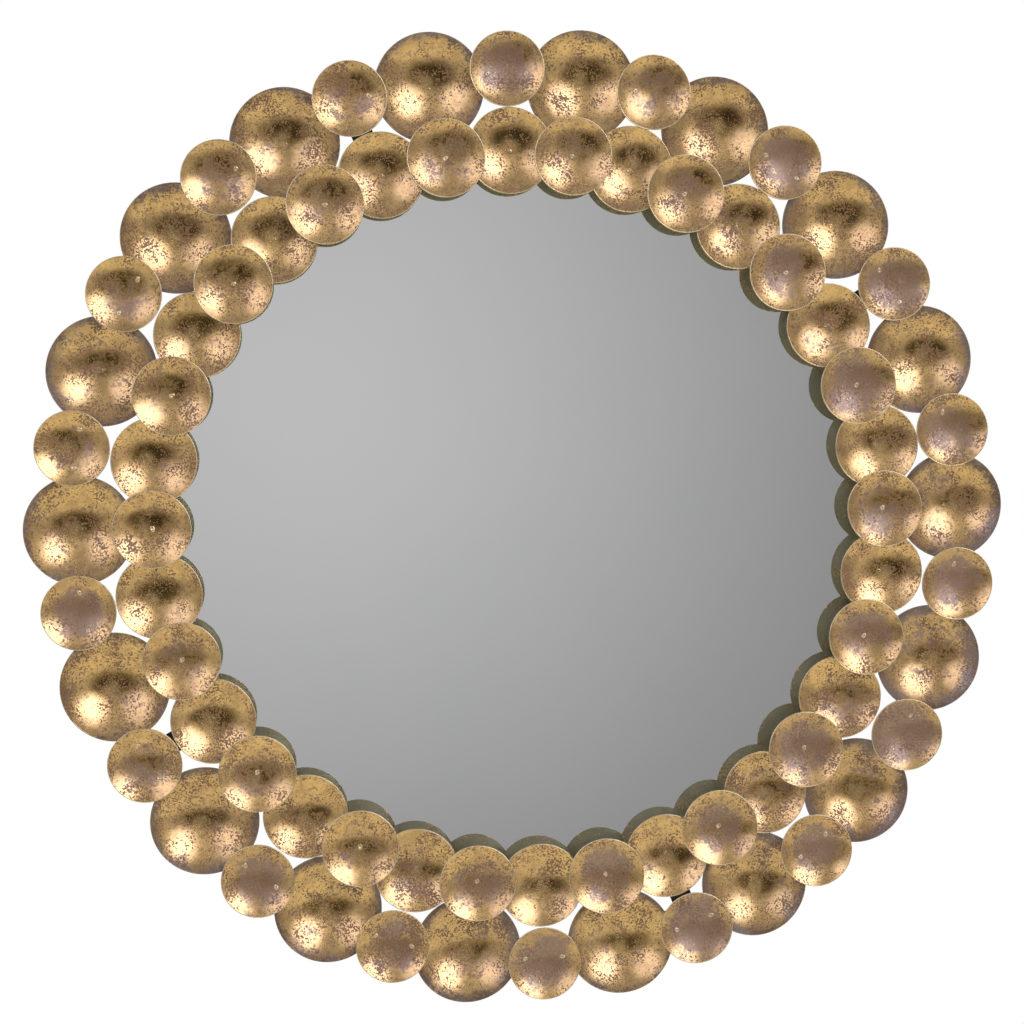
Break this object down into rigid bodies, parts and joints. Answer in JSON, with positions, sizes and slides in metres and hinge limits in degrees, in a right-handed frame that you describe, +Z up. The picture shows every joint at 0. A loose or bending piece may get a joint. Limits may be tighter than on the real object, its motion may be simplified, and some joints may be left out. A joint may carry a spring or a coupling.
{
  "type": "wall mirror",
  "caption": "Round wall mirror whose flat glass is framed by a wreath of overlapping gilt dished metal cups on a steel ring frame, with swinging D-ring hangers behind.",
  "frame": {"origin": "middle of the wall plane, straight behind the middle of the glass", "axes": "+Z up; the glass faces -Y and the wall bumpers' backs lie in y = 0; +X is to the right of someone who looks into the mirror"},
  "size_m": [0.915, 0.0442, 0.9043],
  "materials": {
    "gilt_iron": "antique gold leaf on sheet iron, mottled brown and mauve patina",
    "mirror_glass": "plain silvered float glass",
    "backing_board": "brown fibreboard",
    "black_steel": "flat black paint over flat steel bar",
    "zinc_steel": "zinc plated",
    "rubber": "matte moulded rubber"
  },
  "bodies": {
    "mirror": {"outer_cup_pair_01": "gilt_iron", "outer_cup_pair_02": "gilt_iron", "outer_cup_pair_03": "gilt_iron", "outer_cup_pair_04": "gilt_iron", "outer_cup_pair_05": "gilt_iron", "outer_cup_pair_06": "gilt_iron", "outer_cup_pair_07": "gilt_iron", "outer_cup_pair_08": "gilt_iron", "outer_cup_pair_09": "gilt_iron", "outer_cup_pair_10": "gilt_iron", "outer_cup_pair_11": "gilt_iron", "outer_cup_pair_12": "gilt_iron", "outer_cup_pair_13": "gilt_iron", "outer_cup_pair_14": "gilt_iron", "outer_cup_pair_15": "gilt_iron", "outer_cup_pair_16": "gilt_iron", "outer_cup_pair_17": "gilt_iron", "outer_cup_pair_18": "gilt_iron", "inner_cup_pair_01": "gilt_iron", "inner_cup_pair_02": "gilt_iron", "inner_cup_pair_03": "gilt_iron", "inner_cup_pair_04": "gilt_iron", "inner_cup_pair_05": "gilt_iron", "inner_cup_pair_06": "gilt_iron", "inner_cup_pair_07": "gilt_iron", "inner_cup_pair_08": "gilt_iron", "inner_cup_pair_09": "gilt_iron", "inner_cup_pair_10": "gilt_iron", "inner_cup_pair_11": "gilt_iron", "inner_cup_pair_12": "gilt_iron", "inner_cup_pair_13": "gilt_iron", "inner_cup_pair_14": "gilt_iron", "inner_cup_pair_15": "gilt_iron", "inner_cup_pair_16": "gilt_iron", "inner_cup_pair_17": "gilt_iron", "inner_cup_pair_18": "gilt_iron", "mirror_glass": "mirror_glass", "backing_board": "backing_board", "mirror_frame": "black_steel", "outer_ring": "black_steel", "spoke_1": "black_steel", "spoke_2": "black_steel", "spoke_3": "black_steel", "spoke_4": "black_steel", "spoke_screw_1": "zinc_steel", "spoke_screw_2": "zinc_steel", "spoke_screw_3": "zinc_steel", "spoke_screw_4": "zinc_steel", "hanger_screw_left": "zinc_steel", "hanger_screw_right": "zinc_steel", "wall_bumper_1": "rubber", "wall_bumper_2": "rubber", "wall_bumper_3": "rubber", "wall_bumper_4": "rubber", "hanger_strap_left": "zinc_steel", "hanger_strap_right": "zinc_steel"},
    "left_ring": {"d_ring_left": "zinc_steel"},
    "right_ring": {"d_ring_right": "zinc_steel"}
  },
  "joints": [
    {"name": "left_ring_swing", "type": "hinge", "parent": "mirror", "child": "left_ring", "pos_m": [-0.2, -0.00495, 0.18], "axis": [1, 0, 0], "range_deg": [0, 180]},
    {"name": "right_ring_swing", "type": "hinge", "parent": "mirror", "child": "right_ring", "pos_m": [0.2, -0.00495, 0.18], "axis": [1, 0, 0], "range_deg": [0, 180]}
  ]
}
